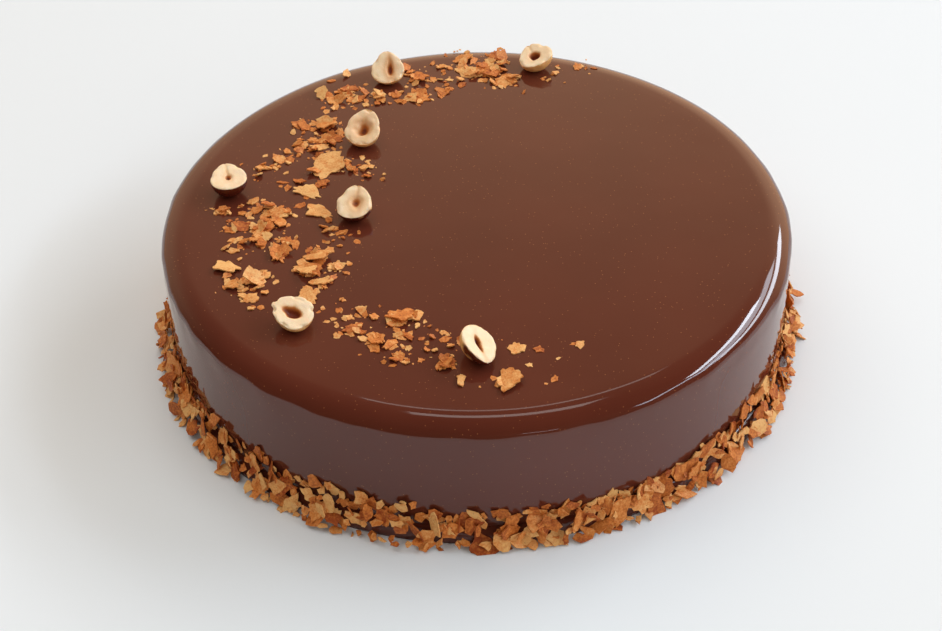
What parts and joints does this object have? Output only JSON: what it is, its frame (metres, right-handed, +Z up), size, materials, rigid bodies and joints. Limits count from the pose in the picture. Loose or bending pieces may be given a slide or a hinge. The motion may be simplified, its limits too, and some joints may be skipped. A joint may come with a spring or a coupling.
{
  "type": "entremet",
  "caption": "Round chocolate entremet under a mirror glaze, with wafer flakes and halved hazelnuts on its top and a border of wafer flakes round its foot.",
  "frame": {"origin": "centre of the cake's flat underside, on the surface that it stands on", "axes": "+Z up, +X to the viewer's right, -Y towards the viewer of the picture"},
  "size_m": [0.2342, 0.2342, 0.0588],
  "materials": {
    "chocolate_glaze": "poured mirror glaze, glossy",
    "wafer_flakes": "baked thin wafer, matt",
    "hazelnut": "roasted kernel, satin"
  },
  "bodies": {
    "root": {"glazed_cake": "chocolate_glaze", "flake_border": "wafer_flakes", "hazelnut_1": "hazelnut", "hazelnut_2": "hazelnut", "hazelnut_3": "hazelnut", "hazelnut_4": "hazelnut", "hazelnut_5": "hazelnut", "hazelnut_6": "hazelnut", "hazelnut_7": "hazelnut"}
  },
  "joints": []
}
